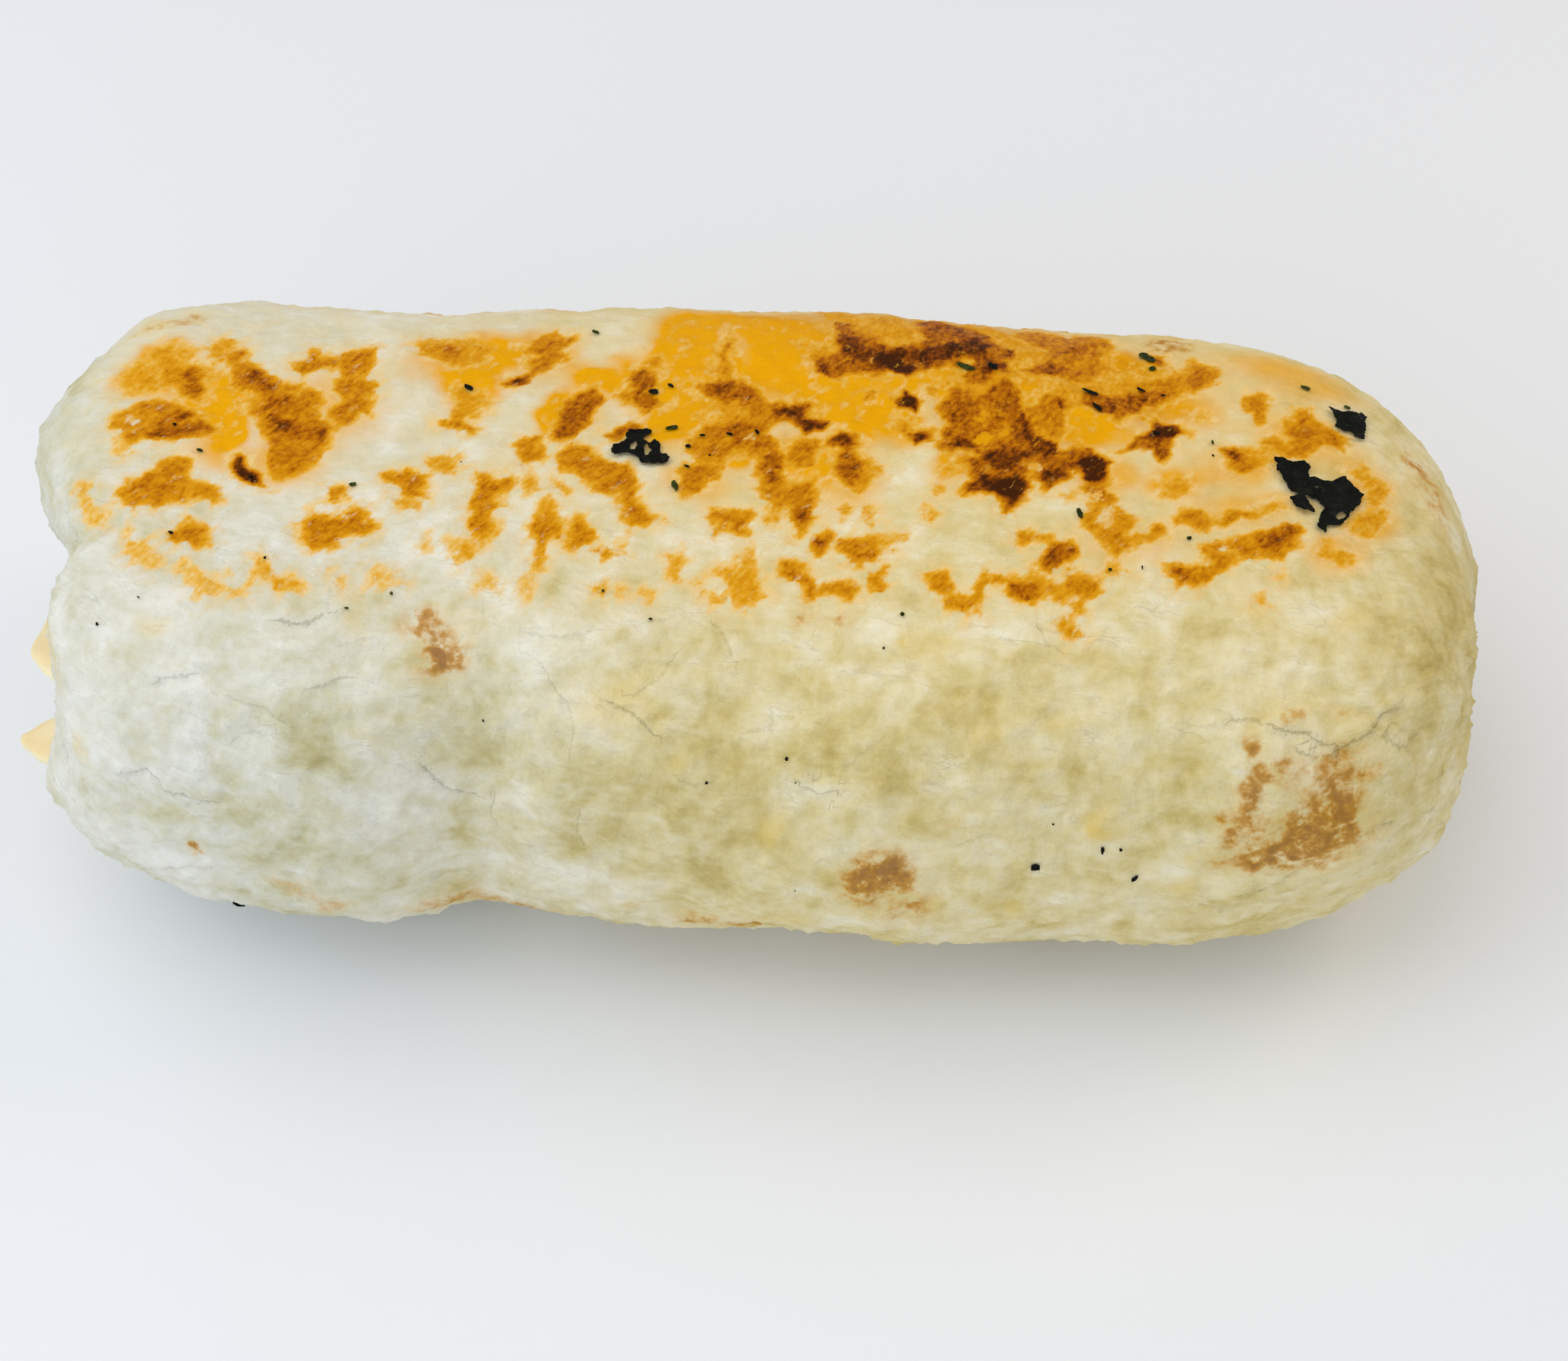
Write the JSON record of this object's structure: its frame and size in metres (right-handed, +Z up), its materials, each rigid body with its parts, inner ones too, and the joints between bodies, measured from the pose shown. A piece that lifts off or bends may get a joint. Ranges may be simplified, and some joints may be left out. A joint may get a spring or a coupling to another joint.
{
  "type": "griddled burrito",
  "caption": "Whole flour tortilla burrito, folded shut at both ends and griddled flat on top, with cheese corners poking from one end; it lies on its flat underside",
  "frame": {"origin": "bottom centre of the whole burrito, on the surface that it lies on", "axes": "+X runs along the roll to its wider right end, -Y is its soft front side, +Z is up to the griddled top"},
  "size_m": [0.185, 0.0852, 0.0565],
  "materials": {
    "tortilla": "wheat flour tortilla, soft cream with olive and yellow mottling, griddled to jagged orange brown patches on top",
    "cheese": "pale yellow sliced cheese, smooth and slightly greasy",
    "charred_leaf": "charred herb leaf, black with a green tinge"
  },
  "bodies": {
    "root": {"tortilla": "tortilla", "cheese_corner_rear": "cheese", "cheese_corner_front": "cheese", "leaf_large": "charred_leaf", "leaf_small": "charred_leaf", "leaf_middle": "charred_leaf"}
  },
  "joints": []
}
